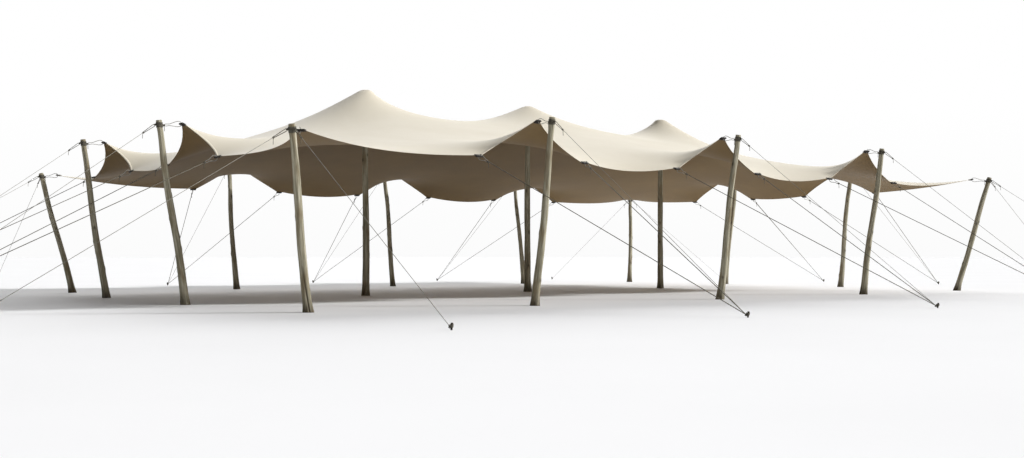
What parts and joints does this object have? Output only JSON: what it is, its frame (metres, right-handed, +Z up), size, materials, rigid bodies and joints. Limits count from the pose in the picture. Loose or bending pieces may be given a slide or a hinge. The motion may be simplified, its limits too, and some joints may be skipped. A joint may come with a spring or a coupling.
{
  "type": "stretch tent",
  "caption": "Free-form stretch tent: a peaked cloth canopy on upright centre poles, held out over leaning timber edge poles by taut ropes to ground stakes.",
  "frame": {"origin": "ground level under the middle centre pole", "axes": "+X along the long side, +Y towards the back long side, +Z up"},
  "size_m": [24.3912, 18.7912, 3.84],
  "materials": {
    "canopy_cloth": "matt cream coated stretch cloth, dark brown underside",
    "gum_pole": "weathered peeled gum timber",
    "rope_rigging": "grey-brown rope with black clamps and galvanised wire links",
    "stake_iron": "dull dark iron"
  },
  "bodies": {
    "root": {"canopy": "canopy_cloth", "pole_centre_1": "gum_pole", "pole_centre_2": "gum_pole", "pole_centre_3": "gum_pole", "pole_front_1": "gum_pole", "pole_front_2": "gum_pole", "pole_front_3": "gum_pole", "pole_back_1": "gum_pole", "pole_back_2": "gum_pole", "pole_back_3": "gum_pole", "pole_left_1": "gum_pole", "pole_left_2": "gum_pole", "pole_right_1": "gum_pole", "pole_right_2": "gum_pole", "pole_corner_1": "gum_pole", "pole_corner_2": "gum_pole", "pole_corner_3": "gum_pole", "pole_corner_4": "gum_pole", "guys_front_1": "rope_rigging", "guys_front_2": "rope_rigging", "guys_front_3": "rope_rigging", "guys_back_1": "rope_rigging", "guys_back_2": "rope_rigging", "guys_back_3": "rope_rigging", "guys_left_1": "rope_rigging", "guys_left_2": "rope_rigging", "guys_right_1": "rope_rigging", "guys_right_2": "rope_rigging", "guys_corner_1": "rope_rigging", "guys_corner_2": "rope_rigging", "guys_corner_3": "rope_rigging", "guys_corner_4": "rope_rigging", "stake_front_1": "stake_iron", "stake_front_2": "stake_iron", "stake_front_3": "stake_iron", "stake_back_1": "stake_iron", "stake_back_2": "stake_iron", "stake_back_3": "stake_iron", "stake_left_1": "stake_iron", "stake_left_2": "stake_iron", "stake_right_1": "stake_iron", "stake_right_2": "stake_iron", "stake_corner_1a": "stake_iron", "stake_corner_1b": "stake_iron", "stake_corner_2a": "stake_iron", "stake_corner_2b": "stake_iron", "stake_corner_3a": "stake_iron", "stake_corner_3b": "stake_iron", "stake_corner_4a": "stake_iron", "stake_corner_4b": "stake_iron"}
  },
  "joints": []
}
